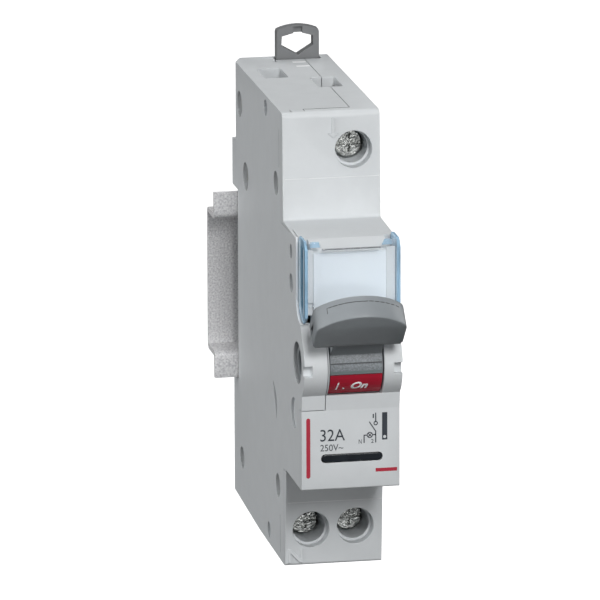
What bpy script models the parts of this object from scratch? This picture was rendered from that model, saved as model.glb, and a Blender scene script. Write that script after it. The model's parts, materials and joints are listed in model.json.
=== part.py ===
"""One module DIN rail switch disconnector on a short piece of top-hat rail.

Sizes below are in millimetres. A place is written (x, d, z): x to the right, d forward of the rail's
front face, z up. The helpers turn it into metres, with the rail's back face at y = 0 and front at -y.
"""

import math

import bmesh
import bpy
from mathutils import Matrix, Vector

MM = 0.001

# Clearances between pieces
SEAM = 0.12
SEAT = 0.3
RUN = 0.35

# Top-hat rail
RAIL_HEIGHT = 35.0
RAIL_DEPTH = 7.5
RAIL_HAT = 27.0
RAIL_SHEET = 1.0
RAIL_LENGTH = 26.4
RAIL_BEND = 1.2

# Housing, seen from the side
WIDTH = 17.7
WALL = 1.3
TOP = 41.6
FOOT = -41.4
FOOT_BACK = -39.9
BACK = -5.0
BACK_LOW = -4.2
SHOULDER_TOP = 43.6
SHOULDER_ROOT = 44.2
NOSE_TOP = 22.15
NOSE_BOTTOM = -23.2
NOSE_FRONT = 60.4
NOSE_LIP = 56.8
LIP_DROP = 1.5
PLATE_FRONT = 61.0
LOWER_SHOULDER_ROOT = 46.2
LOWER_SHOULDER_FOOT = 44.9
EDGE_ROUND = 1.0
SPLIT_X = 3.9
SPLIT_FRONT = 40.7

# Toggle
HUB_D = 57.3
HUB_Z = -0.6
DRUM_RADIUS = 6.0
JOURNAL_RADIUS = 3.3
JOURNAL_BORE = 3.8
HANDLE_ANGLE = 45.0
HANDLE_SWING = 78.0
PADDLE_HALF = 8.1
PADDLE_THICK = 4.4
PADDLE_RISE = 1.0
PADDLE_ROOT = 10.0
PADDLE_TIP = 16.5
PADDLE_CROWN = 3.8
DRUM_PLAY = 0.25
CORE_RADIUS = 2.1
WINDOW_LEFT = -4.35
WINDOW_RIGHT = 5.6
WINDOW_TOP = 7.4
WINDOW_BOTTOM = -5.9
BAND_THICK = 0.5
BAND_SPREAD = 46.0
ON_BAND_BELOW = 80.0
OFF_BAND_ABOVE = 60.0
CHEEK_RADIUS = 6.6
CHEEK_BOTTOM = -8.7
CHEEK_TOP = 8.6

# Terminals
TERMINAL_1 = (4.05, 34.6)
TERMINAL_N = (-4.15, -34.7)
TERMINAL_2 = (3.95, -34.4)
WELL_BORE = 5.9
WELL_MOUTH = 6.8
MOUTH_DEEP = 2.3
SCREW_HEAD = 5.4
SCREW_HEAD_THICK = 2.6
SCREW_FACE = 38.3
SCREW_SHANK = 3.6
CAGE_WIDTH = 6.3
CAGE_HEIGHT = 8.0
CAGE_SHEET = 1.0
CAGE_BACK = 13.2
CAGE_FRONT = 28.0
CAGE_TRAVEL = 4.0
WELL_START = CAGE_FRONT + CAGE_TRAVEL + SEAT
TUBE_WALL = 0.7
BAR_D = 24.0
BAR_THICK = 1.2
BAR_WIDTH = 3.4
ENTRY_HALF = 2.6
TOP_SLOTS = ((-6.3, 5.8, -1.9, 13.8), (1.8, 15.0, 6.3, 23.2))
SLOT_COLLARS = (38.4, 39.0)
COLLAR_WALL = 0.9

# Rail clips
CLIP_X = 2.82
CLIP_WIDTH = 7.87
CLIP_THICK = 2.0
CLIP_FRONT = -1.6
CLIP_REST_TIP = 18.5
CLIP_HOOK = 1.3
CLIP_TRAVEL = CLIP_REST_TIP - RAIL_HAT / 2 - CLIP_HOOK
CLIP_REACH = 47.85
CLIP_CROWN = 0.85

# Label and cover
LABEL_HALF = 6.6
LABEL_TOP = 20.0
LABEL_BOTTOM = 9.0
CARD_THICK = 0.25
COVER_FRONT = 62.4
COVER_THICK = 0.8
COVER_TOP = 22.4
COVER_HINGE = (59.8, 10.8)
ARM_RADIUS = 2.6
ARM_OUTER = 8.35
ARM_THICK = 1.15
PANE_HALF = 8.05
COVER_PIN = 0.8

# Contacts
CARRIER_D = 36.0
CARRIER_Z = -9.0
CONTACT_X = 3.3
CONTACT_Z = 8.0
CONTACT_RADIUS = 1.5
CONTACT_THICK = 0.9
CRANK_RADIUS = 4.0
CRANK_ANGLE = 129.0
LINK_THICK = 1.0
LINK_PIN = 0.6
LINK_REACH = 13.8
ARM_ANGLE = 126.9
BLADE_THICK = 1.0
LENS_X = 0.22
LENS_Z = -17.5
LENS_HALF = 5.42
LENS_HEIGHT = 1.35
LAMP_BEHIND = 4.0
LEAD_RADIUS = 0.4
MECH_X = -1.1

HALF = WIDTH / 2
INNER = HALF - WALL

# Rivets (d, z, width of the sunk seat), and the dimples of the left side (d, z, radius, depth)
RIVETS = ((2.4, 34.5, 4.8), (8.2, 22.2, 5.2), (37.5, 27.6, 4.4), (3.5, -32.0, 4.2), (38.5, -28.0, 4.3))
RIVET_POST = 2.1
RIVET_BORE = 1.5
RIVET_SHANK = 1.25
RIVET_SINK = 1.1
RIVET_HEAD_THICK = 0.45
DIMPLES = (
    (27.9, 39.3, 1.5, 0.9),
    (29.6, -38.7, 1.5, 0.9),
    (51.4, 18.3, 1.3, 0.9),
    (51.5, 12.6, 1.7, 0.9),
    (53.9, -10.6, 2.8, 0.5),
)
PIN_BOSS = 2.0
SLIT_ENDS = ((34.0, -9.6), (37.4, -16.3))
SLIT_RISES = (0.0, 1.9)
GROOVES = ((40.2, 31.0, 40.6, 38.0), (40.2, -40.2, 40.6, -33.0))
TOP_STEPS = ((-3.4, -3.4, -1.5, -2.7), (-1.9, -1.6, -1.4, 0.6))
CORNER_START = -1.4
CORNER_INSET = 1.55
NOTCH_DEEP = 1.5
NOTCH_BACK = 1.4
NOTCH_LOW = -1.8
NOTCH_HIGH = 0.2

# Raised marks: the outlines of a letter and of an arrow, about their centres as (x, z)
RELIEF = 0.2
LETTER_X = -7.0
LETTER_Z = -39.55
LETTER_N = (
    (-1.3, -1.25), (-0.85, -1.25), (-0.85, 0.5), (0.8, -1.25), (1.3, -1.25),
    (1.3, 1.25), (0.85, 1.25), (0.85, -0.5), (-0.8, 1.25), (-1.3, 1.25),
)
ARROW_X = 0.35
ARROW_Z = 38.6
ARROW = (
    (-0.22, 1.8), (-0.22, -0.95), (-0.95, -0.95), (0, -1.8), (0.95, -0.95), (0.22, -0.95), (0.22, 1.8),
)
PIN_RADIUS = 1.0


def clear_scene():
    for thing in list(bpy.data.objects):
        bpy.data.objects.remove(thing, do_unlink=True)


clear_scene()
PARTS = bpy.data.collections.new("switch_disconnector")
TOOLS = bpy.data.collections.new("cutters")
bpy.context.scene.collection.children.link(PARTS)
bpy.context.scene.collection.children.link(TOOLS)


def material(name, colour, roughness, metallic=0.0, see_through=0.0):
    made = bpy.data.materials.new(name)
    made.use_nodes = True
    shader = made.node_tree.nodes["Principled BSDF"]
    shader.inputs["Base Color"].default_value = (*colour, 1)
    shader.inputs["Roughness"].default_value = roughness
    shader.inputs["Metallic"].default_value = metallic
    shader.inputs["Transmission Weight"].default_value = see_through
    return made


CASE = material("case_grey", (0.62, 0.64, 0.65), 0.45)
TOGGLE = material("toggle_grey", (0.22, 0.24, 0.25), 0.5)
CLIP = material("clip_grey", (0.24, 0.25, 0.26), 0.45)
ZINC = material("zinc", (0.62, 0.64, 0.66), 0.35, 1.0)
STEEL = material("steel", (0.5, 0.5, 0.52), 0.3, 1.0)
COPPER = material("copper", (0.72, 0.35, 0.2), 0.3, 1.0)
SILVER = material("silver", (0.8, 0.8, 0.8), 0.25, 1.0)
RED = material("band_red", (0.35, 0.02, 0.04), 0.4)
GREEN = material("band_green", (0.03, 0.25, 0.08), 0.4)
CLEAR = material("cover_clear", (0.75, 0.88, 1.0), 0.05, 0.0, 1.0)
PAPER = material("label_paper", (0.75, 0.8, 0.86), 0.8)
SMOKE = material("lens_smoke", (0.02, 0.03, 0.04), 0.1)
GLASS = material("lamp_glass", (0.9, 0.6, 0.4), 0.05, 0.0, 0.9)
CERAMIC = material("resistor_body", (0.55, 0.42, 0.28), 0.6)
INSULATION = material("lead_sleeve", (0.05, 0.12, 0.35), 0.5)


def at(x, d, z):
    """A place in metres."""
    return Vector((x, -(RAIL_DEPTH + d), z)) * MM


def polar(centre, radius, degrees):
    """The point at an angle from straight forward, turning upward, as (d, z)."""
    turn = math.radians(degrees)
    return (centre[0] + radius * math.cos(turn), centre[1] + radius * math.sin(turn))


def arc(centre, radius, start, end, steps):
    return [polar(centre, radius, start + (end - start) * i / steps) for i in range(steps + 1)]


def bowed(start, end, rise, steps):
    """Points from one place to another along a bow that rises to the left at its middle."""
    first, last = Vector(start), Vector(end)
    across = Vector((first.y - last.y, last.x - first.x)).normalized()
    return [
        tuple(first.lerp(last, i / steps) + across * rise * 4 * i * (steps - i) / steps**2)
        for i in range(steps + 1)
    ]


def fillet(corners, steps=3):
    """An outline from corners (a, b, radius), with each radius turned into an arc."""
    points = []
    for i, corner in enumerate(corners):
        here = Vector(corner[:2])
        if len(corner) == 2 or corner[2] == 0:
            points.append(tuple(here))
            continue
        before = (Vector(corners[i - 1][:2]) - here).normalized()
        after = (Vector(corners[(i + 1) % len(corners)][:2]) - here).normalized()
        half = before.angle(after) / 2
        reach = corner[2] / math.tan(half)
        centre = here + (before + after).normalized() * (corner[2] / math.sin(half))
        first = here + before * reach - centre
        last = here + after * reach - centre
        sweep = first.angle_signed(last)
        for k in range(steps + 1):
            points.append(tuple(centre + Matrix.Rotation(-sweep * k / steps, 2) @ first))
    return points


def keep(mesh, name, finish=None, helper=False):
    """Links a mesh as a part, or as a hidden tool for a Boolean."""
    made = bpy.data.objects.new(name, mesh)
    (TOOLS if helper else PARTS).objects.link(made)
    if helper:
        made.hide_render = True
        made.display_type = "WIRE"
    else:
        mesh.materials.append(finish)
        mesh.shade_smooth()
        mesh.set_sharp_from_angle(angle=math.radians(32))
    return made


def from_curve(curve, place):
    """The closed mesh of a curve, its caps welded, in world space."""
    guide = bpy.data.objects.new("guide", curve)
    mesh = bpy.data.meshes.new_from_object(guide)
    mesh.transform(place)
    bpy.data.objects.remove(guide, do_unlink=True)
    body = bmesh.new()
    body.from_mesh(mesh)
    bmesh.ops.remove_doubles(body, verts=body.verts, dist=1e-7)
    bmesh.ops.recalc_face_normals(body, faces=body.faces)
    body.to_mesh(mesh)
    body.free()
    mesh.materials.clear()
    return mesh


# Where the drawing plane of a flat outline lies: (a, b) become (d, z), (x, z) or (x, d)
SIDEWAYS = Matrix(((0, 0, -1, 0), (-1, 0, 0, -RAIL_DEPTH * MM), (0, 1, 0, 0), (0, 0, 0, 1)))
FACING = Matrix(((1, 0, 0, 0), (0, 0, -1, -RAIL_DEPTH * MM), (0, 1, 0, 0), (0, 0, 0, 1)))
LYING = Matrix(((1, 0, 0, 0), (0, -1, 0, -RAIL_DEPTH * MM), (0, 0, -1, 0), (0, 0, 0, 1)))


def flat(plane, outline, low, high, holes=()):
    """A flat outline given a thickness between two levels across its plane."""
    curve = bpy.data.curves.new("outline", "CURVE")
    curve.dimensions = "2D"
    curve.fill_mode = "BOTH"
    curve.extrude = (high - low) / 2 * MM
    for loop in [outline, *holes]:
        spline = curve.splines.new("POLY")
        spline.points.add(len(loop) - 1)
        for point, (a, b) in zip(spline.points, loop):
            point.co = (a * MM, b * MM, 0, 1)
        spline.use_cyclic_u = True
    middle = (low + high) / 2 * MM
    across = {"side": -middle, "front": middle, "top": -middle}[plane]
    frame = {"side": SIDEWAYS, "front": FACING, "top": LYING}[plane]
    return from_curve(curve, frame @ Matrix.Translation((0, 0, across)))


def side(outline, x0, x1, holes=()):
    return flat("side", outline, x0, x1, holes)


def front(outline, d0, d1, holes=()):
    return flat("front", outline, d0, d1, holes)


def top(outline, z0, z1, holes=()):
    return flat("top", outline, z0, z1, holes)


def rectangle(a0, b0, a1, b1, radius=0.0, steps=3):
    corners = ((a0, b0, radius), (a1, b0, radius), (a1, b1, radius), (a0, b1, radius))
    return fillet(corners, steps)


def outward(end, inner, outer):
    """Two levels across x on the side that end names, -1 for the left, in rising order."""
    return sorted((end * inner, end * outer))


def circle(centre, radius, steps=24):
    return arc(centre, radius, 0, 360 - 360 / steps, steps - 1)


def wire(points, radius):
    """A round wire along places (x, d, z)."""
    curve = bpy.data.curves.new("wire", "CURVE")
    curve.dimensions = "3D"
    curve.bevel_depth = radius * MM
    curve.bevel_resolution = 1
    curve.use_fill_caps = True
    spline = curve.splines.new("POLY")
    spline.points.add(len(points) - 1)
    for point, place in zip(spline.points, points):
        point.co = (*at(*place), 1)
    return from_curve(curve, Matrix.Identity(4))


# Turns a shape made along z to lie along x, forward, or up
FACE_ALONG = {
    "x": Matrix.Rotation(math.radians(90), 4, "Y"),
    "d": Matrix.Rotation(math.radians(90), 4, "X"),
    "z": Matrix.Identity(4),
}


def turned(profile, axis, place, steps=20):
    """A profile (radius, distance along the axis) turned round its axis with a Screw modifier."""
    mesh = bpy.data.meshes.new("profile")
    points = [(radius * MM, 0, along * MM) for radius, along in profile]
    mesh.from_pydata(points, [(i, i + 1) for i in range(len(points) - 1)], [])
    guide = bpy.data.objects.new("profile", mesh)
    TOOLS.objects.link(guide)
    screw = guide.modifiers.new("turn", "SCREW")
    screw.steps = screw.render_steps = steps
    screw.use_merge_vertices = True
    screw.merge_threshold = 1e-6
    bpy.context.view_layer.update()
    made = bpy.data.meshes.new_from_object(guide.evaluated_get(bpy.context.evaluated_depsgraph_get()))
    bpy.data.objects.remove(guide, do_unlink=True)
    body = bmesh.new()
    body.from_mesh(made)
    bmesh.ops.remove_doubles(body, verts=body.verts, dist=1e-7)
    bmesh.ops.recalc_face_normals(body, faces=body.faces)
    bmesh.ops.transform(body, matrix=FACE_ALONG[axis], verts=body.verts)
    bmesh.ops.translate(body, vec=at(*place), verts=body.verts)
    body.to_mesh(made)
    body.free()
    return made


def rod(axis, place, radius, low, high, steps=20):
    """A round bar along an axis, between two distances from a place."""
    body = bmesh.new()
    size = radius * MM
    bmesh.ops.create_cone(
        body, cap_ends=True, segments=steps, radius1=size, radius2=size, depth=(high - low) * MM
    )
    bmesh.ops.translate(body, vec=(0, 0, (low + high) / 2 * MM), verts=body.verts)
    bmesh.ops.transform(body, matrix=FACE_ALONG[axis], verts=body.verts)
    bmesh.ops.translate(body, vec=at(*place), verts=body.verts)
    mesh = bpy.data.meshes.new("rod")
    body.to_mesh(mesh)
    body.free()
    return mesh


def combine(target, mesh, operation):
    tool = keep(mesh, target.name + "_tool", helper=True)
    boolean = target.modifiers.new(operation.lower(), "BOOLEAN")
    boolean.operation = operation
    boolean.solver = "EXACT"
    boolean.object = tool


def cut(target, *meshes):
    for mesh in meshes:
        combine(target, mesh, "DIFFERENCE")


def join(target, *meshes):
    for mesh in meshes:
        combine(target, mesh, "UNION")


def hinge_origin(thing, place):
    """Puts the object's origin on its joint's axis and leaves its shape where it is."""
    thing.location = at(*place)
    thing.data.transform(Matrix.Translation(-thing.location))


# Housing
def outer_profile():
    hub = (HUB_D, HUB_Z)
    cheek = arc(hub, CHEEK_RADIUS, 48, -52, 6)
    return fillet(
        (
            (BACK, TOP, 0.4),
            (SHOULDER_TOP, TOP, EDGE_ROUND),
            (SHOULDER_ROOT, NOSE_TOP, 0.5),
            (NOSE_LIP, NOSE_TOP - 0.45, 0.4),
            (NOSE_FRONT, NOSE_TOP - 0.45 - LIP_DROP, 0.3),
            (NOSE_FRONT, 6.6, 0.6),
            *cheek,
            (PLATE_FRONT, CHEEK_BOTTOM, 1.2),
            (PLATE_FRONT, NOSE_BOTTOM, 0.35),
            (LOWER_SHOULDER_ROOT, NOSE_BOTTOM, 0.5),
            (LOWER_SHOULDER_FOOT, FOOT, 0.5),
            (20.0, FOOT + 0.3),
            (BACK_LOW, FOOT_BACK, 0.4),
            (BACK_LOW, -RAIL_HEIGHT / 2 - SEAT, 0.3),
            (SEAT, -RAIL_HEIGHT / 2 - SEAT),
            (SEAT, RAIL_HEIGHT / 2 + SEAT + 0.2),
            (BACK, RAIL_HEIGHT / 2 + SEAT + 0.2, 0.3),
        )
    )


def inner_profile():
    back = SEAT + WALL
    return fillet(
        (
            (back, TOP - WALL),
            (SHOULDER_TOP - WALL, TOP - WALL, 0.3),
            (SHOULDER_ROOT - WALL, NOSE_TOP - WALL),
            (NOSE_LIP - WALL, NOSE_TOP - 0.45 - WALL),
            (NOSE_FRONT - WALL, NOSE_TOP - 0.6 - LIP_DROP - WALL),
            (NOSE_FRONT - WALL, CHEEK_BOTTOM),
            (PLATE_FRONT - WALL, CHEEK_BOTTOM - 1.0),
            (PLATE_FRONT - WALL, NOSE_BOTTOM + WALL),
            (LOWER_SHOULDER_ROOT - WALL, NOSE_BOTTOM + WALL),
            (LOWER_SHOULDER_FOOT - WALL, FOOT + WALL, 0.3),
            (20.0, FOOT + WALL + 0.3),
            (back, FOOT_BACK + WALL),
        )
    )


def clip_channel(direction):
    """The slot that a rail clip slides in, at the top for 1 and at the foot for -1."""
    half = CLIP_WIDTH / 2 + RUN
    outline = rectangle(CLIP_X - half, CLIP_FRONT - CLIP_THICK - RUN, CLIP_X + half, CLIP_FRONT + RUN)
    start = direction * (RAIL_HEIGHT / 2 - 1.0)
    return top(outline, *sorted((start, direction * 60.0)))


def upper_face(z):
    """How far forward the housing's upper front lies at a height."""
    return SHOULDER_TOP + (SHOULDER_ROOT - SHOULDER_TOP) * (TOP - z) / (TOP - NOSE_TOP)


def lower_face(z):
    """How far forward the housing's lower front lies at a height."""
    lean = (LOWER_SHOULDER_ROOT - LOWER_SHOULDER_FOOT) / (NOSE_BOTTOM - FOOT)
    return LOWER_SHOULDER_FOOT + lean * (z - FOOT)


def screw_wells():
    """The stepped bores in front of the three clamping screws."""
    wells = []
    for x, z in (TERMINAL_1, TERMINAL_N, TERMINAL_2):
        face = upper_face(z) if z > 0 else lower_face(z)
        wells.append(rod("d", (x, 0, z), WELL_BORE / 2, WELL_START - 0.2, face + 3.0, 28))
        wells.append(rod("d", (x, 0, z), WELL_MOUTH / 2, face - MOUTH_DEEP, face + 3.5, 28))
    return wells


def well_tubes():
    """The moulded tubes that lead a screwdriver down to each screw."""
    tubes = []
    for x, z in (TERMINAL_1, TERMINAL_N, TERMINAL_2):
        face = upper_face(z) if z > 0 else lower_face(z)
        tubes.append(rod("d", (x, 0, z), WELL_BORE / 2 + TUBE_WALL, WELL_START, face - 0.6, 22))
    return tubes


def slot_collars():
    """The walls that line the busbar slots under the top."""
    collars = []
    for (x0, d0, x1, d1), foot in zip(TOP_SLOTS, SLOT_COLLARS):
        walls = (x0 - COLLAR_WALL, d0 - COLLAR_WALL, x1 + COLLAR_WALL, d1 + COLLAR_WALL)
        collars.append(top(rectangle(*walls), foot, TOP - 0.4))
    return collars


def wire_entries():
    """Busbar slots in the top, and the cable entries in the foot."""
    slots = [top(rectangle(*slot, 0.3), TOP - 6.0, TOP + 2.0) for slot in TOP_SLOTS]
    for x, _ in (TERMINAL_N, TERMINAL_2):
        entry = rectangle(x - ENTRY_HALF, CAGE_BACK + 1.6, x + ENTRY_HALF, BAR_D - BAR_THICK / 2, 1.2)
        slots.append(top(entry, FOOT - 2, FOOT + 6))
    return slots


def side_details(shell):
    """The moulded marks of the left face: dimples, a curved slit, shallow grooves and small steps."""
    for d, z, radius, depth in DIMPLES:
        cut(shell, rod("x", (0, d, z), radius, -HALF - 1, -HALF + depth, 20))
    low, high = (bowed(*SLIT_ENDS, rise, 8) for rise in SLIT_RISES)
    slit = high + low[-2:0:-1]
    cut(shell, side(slit, -HALF - 1, -HALF + 0.8))
    for d0, z0, d1, z1 in GROOVES:
        cut(shell, side(rectangle(d0, z0, d1, z1), -HALF - 1, -HALF + 0.3))
    for x0, d0, x1, d1 in TOP_STEPS:
        cut(shell, top(rectangle(x0, d0, x1, d1), TOP - 0.35, TOP + 1))


def relief(shell):
    """The raised letter at the neutral terminal and the raised arrow at the live one."""
    letter = [(LETTER_X + a, LETTER_Z + b) for a, b in LETTER_N]
    face = lower_face(LETTER_Z)
    join(shell, front(letter, face - 0.6, face + RELIEF))
    arrow = [(ARROW_X + a, ARROW_Z + b) for a, b in ARROW]
    face = upper_face(ARROW_Z)
    join(shell, front(arrow, face - 0.6, face + RELIEF))


def posts(shell):
    """The posts that the rivets pass through, and the two sockets of the contact carrier's pin."""
    for d, z, _ in RIVETS:
        join(shell, rod("x", (0, d, z), RIVET_POST, -INNER - 0.3, INNER + 0.3, 16))
    for end in (-1, 1):
        socket = outward(end, INNER - 1.5, INNER + 0.3)
        join(shell, rod("x", (0, CARRIER_D, CARRIER_Z), PIN_BOSS, *socket, 16))
    for d, z, seat in RIVETS:
        cut(shell, rod("x", (0, d, z), RIVET_BORE, -HALF - 1, HALF + 1, 16))
        for end in (-1, 1):
            cut(shell, rod("x", (0, d, z), seat / 2, *outward(end, HALF - RIVET_SINK, HALF + 1), 20))
    for end in (-1, 1):
        bore = outward(end, INNER - 3, INNER + 0.5)
        cut(shell, rod("x", (0, CARRIER_D, CARRIER_Z), PIN_RADIUS + 0.2, *bore, 14))


def handle_window(shell):
    """The opening for the drum and lever, with the bores for its journals in both cheeks."""
    window = rectangle(WINDOW_LEFT, WINDOW_BOTTOM, WINDOW_RIGHT, WINDOW_TOP, 0.25)
    room = (WINDOW_LEFT + DRUM_PLAY / 2, WINDOW_RIGHT - DRUM_PLAY / 2)
    cut(shell, rod("x", (0, HUB_D, HUB_Z), DRUM_RADIUS + SEAT, *room, 36))
    cut(shell, front(window, 40.0, 75.0))
    cut(shell, rod("x", (0, HUB_D, HUB_Z), JOURNAL_BORE, -HALF - 1, HALF + 1, 28))


def cover_seats(shell):
    """Pockets for the cover's arms, bores for its pins, and a finger notch in each cheek."""
    hinge_d, hinge_z = COVER_HINGE
    pocket = ARM_RADIUS + SEAT
    outline = (
        (hinge_d - pocket, COVER_TOP + 2),
        *arc(COVER_HINGE, pocket, 180, 270, 6),
        (hinge_d + 8, hinge_z - pocket),
        (hinge_d + 8, COVER_TOP + 2),
    )
    for end in (-1, 1):
        cut(shell, side(outline, *outward(end, ARM_OUTER - ARM_THICK - SEAT, ARM_OUTER + 0.1)))
        bore = outward(end, ARM_OUTER - ARM_THICK - 1.0, ARM_OUTER)
        cut(shell, rod("x", (0, *COVER_HINGE), COVER_PIN + 0.25, *bore, 12))
        x0, x1 = outward(end, HALF - NOTCH_DEEP, HALF + 1)
        notch = rectangle(x0, NOTCH_LOW, x1, NOTCH_HIGH)
        cut(shell, front(notch, HUB_D + CHEEK_RADIUS - NOTCH_BACK, HUB_D + CHEEK_RADIUS + 2))


def housing_body(name):
    """The whole moulding before it is parted, hollow, with everything that is cut into it."""
    shell = keep(side(outer_profile(), -HALF, HALF), name, CASE)
    cut(shell, side(inner_profile(), -INNER, INNER))
    join(shell, *well_tubes(), *slot_collars())
    posts(shell)
    relief(shell)
    cut(shell, *screw_wells(), *wire_entries(), clip_channel(1), clip_channel(-1))
    half, tall = LENS_HALF + 0.15, LENS_HEIGHT / 2 + 0.12
    lens_slot = rectangle(LENS_X - half, LENS_Z - tall, LENS_X + half, LENS_Z + tall, 0.7)
    cut(shell, front(lens_slot, PLATE_FRONT - WALL - 1, PLATE_FRONT + 1))
    handle_window(shell)
    cover_seats(shell)
    lean = (BACK - CORNER_START) / CORNER_INSET
    corner = [(-HALF - 1, CORNER_START - lean), (-HALF - 1, BACK - 1)]
    corner.append((-HALF + CORNER_INSET - 1 / lean, BACK - 1))
    cut(shell, top(corner, RAIL_HEIGHT / 2 + 9.2, TOP + 1))
    side_details(shell)
    return shell


def lid_zone(gap):
    """The space on the lid's side of the parting line, grown by a gap."""
    slab = rectangle(-20, -60, SPLIT_FRONT + gap, 60)
    shape = keep(side(slab, -HALF - 5, SPLIT_X + gap), "lid_zone", helper=True)
    flank = rectangle(-21, -61, PLATE_FRONT - WALL - 0.4 + gap, 61)
    join(shape, side(flank, -HALF - 6, -INNER + 0.5 + gap))
    upper_front = rectangle(SHOULDER_TOP - WALL + 0.3 + gap, NOSE_TOP - 0.7 + gap, 50, 62)
    lower_front = rectangle(LOWER_SHOULDER_FOOT - 1.0 + gap, -62, 70, NOSE_BOTTOM - 0.3 - gap)
    cut(shape, side(upper_front, -HALF - 7, 0), side(lower_front, -HALF - 7, 0))
    for low, high in ((NOSE_TOP, TOP - WALL - 0.1), (FOOT + WALL + 0.5, NOSE_BOTTOM)):
        wells = rectangle(WELL_START - 1.1 + gap, low + gap, SPLIT_FRONT + 2, high - gap)
        cut(shape, side(wells, -INNER + 0.5 + gap, HALF + 2))
    cheek = rectangle(50, CHEEK_BOTTOM + 0.15 - gap, 75, CHEEK_TOP + gap)
    join(shape, side(cheek, -HALF - 5.5, WINDOW_LEFT - 0.3 + gap))
    rim = rectangle(51, CHEEK_TOP - 2, 76, 30)
    join(shape, side(rim, -HALF - 5.7, -ARM_OUTER + 0.25 + gap))
    nose_top = rectangle(SHOULDER_ROOT + 0.3 + gap, NOSE_TOP - WALL - 0.2 + gap, 58.3, 61)
    cut(shape, side(nose_top, -ARM_OUTER + gap, 1))
    return shape


def take(target, zone, operation):
    boolean = target.modifiers.new("parting", "BOOLEAN")
    boolean.operation = operation
    boolean.solver = "EXACT"
    boolean.object = zone


def housing():
    left = housing_body("housing_left_shell")
    take(left, lid_zone(0.0), "INTERSECT")
    right = housing_body("housing_right_shell")
    take(right, lid_zone(SEAM), "DIFFERENCE")


def rail():
    half, hat = RAIL_HEIGHT / 2, RAIL_HAT / 2
    sheet = RAIL_SHEET
    bend = RAIL_BEND
    outline = fillet(
        (
            (0, half),
            (-sheet, half),
            (-sheet, hat, 0.3),
            (-RAIL_DEPTH, hat, bend),
            (-RAIL_DEPTH, -hat, bend),
            (-sheet, -hat, 0.3),
            (-sheet, -half),
            (0, -half),
            (0, -hat + sheet, bend),
            (sheet - RAIL_DEPTH, -hat + sheet, 0.3),
            (sheet - RAIL_DEPTH, hat - sheet, 0.3),
            (0, hat - sheet, bend),
        )
    )
    keep(side(outline, -RAIL_LENGTH / 2, RAIL_LENGTH / 2), "din_rail_section", ZINC)


def clip(name, direction):
    """A rail clip: a flat slider with a hexagonal eye outside and a hook behind the rail's flange."""
    half = CLIP_WIDTH / 2
    tip, reach = CLIP_REST_TIP, CLIP_REACH
    if direction < 0:
        tip, reach = tip - CLIP_TRAVEL, reach - CLIP_TRAVEL - (TOP + FOOT_BACK)
    side_top = reach - CLIP_CROWN
    arch_radius = (half**2 + CLIP_CROWN**2) / (2 * CLIP_CROWN)
    spread = math.degrees(math.asin(half / arch_radius))
    arch = arc((CLIP_X, reach - arch_radius), arch_radius, 90 - spread + 1, 90 + spread - 1, 8)
    outline = [(CLIP_X - half, tip), (CLIP_X + half, tip), (CLIP_X + half, side_top - 0.4), *arch]
    outline.append((CLIP_X - half, side_top - 0.4))
    eye_top, eye_shoulder, eye_side, eye_point = reach - 1.4, reach - 2.0, reach - 3.75, reach - 5.5
    eye = [
        (CLIP_X - 0.65, eye_top),
        (CLIP_X - 2.97, eye_shoulder),
        (CLIP_X - 3.07, eye_side),
        (CLIP_X, eye_point),
        (CLIP_X + 2.83, eye_side),
        (CLIP_X + 2.83, eye_shoulder),
        (CLIP_X + 0.65, eye_top),
    ]
    outline = [(a, b * direction) for a, b in outline]
    eye = [(a, b * direction) for a, b in eye]
    body = keep(front(outline, CLIP_FRONT - CLIP_THICK, CLIP_FRONT, [eye]), name, CLIP)
    low, high = sorted((direction * (eye_top - 0.1), direction * (reach - 0.25)))
    pocket = rectangle(CLIP_X - 0.85, low, CLIP_X + 0.85, high)
    cut(body, front(pocket, CLIP_FRONT - 0.7, CLIP_FRONT + 1))
    hinge_origin(body, (CLIP_X, CLIP_FRONT - CLIP_THICK / 2, direction * tip))


def paddle_point(u, v):
    """A point of the handle, u along its length from the hub and v across it, as (d, z)."""
    along = polar((HUB_D, HUB_Z), u, HANDLE_ANGLE)
    return polar(along, v, HANDLE_ANGLE + 90)


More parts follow.
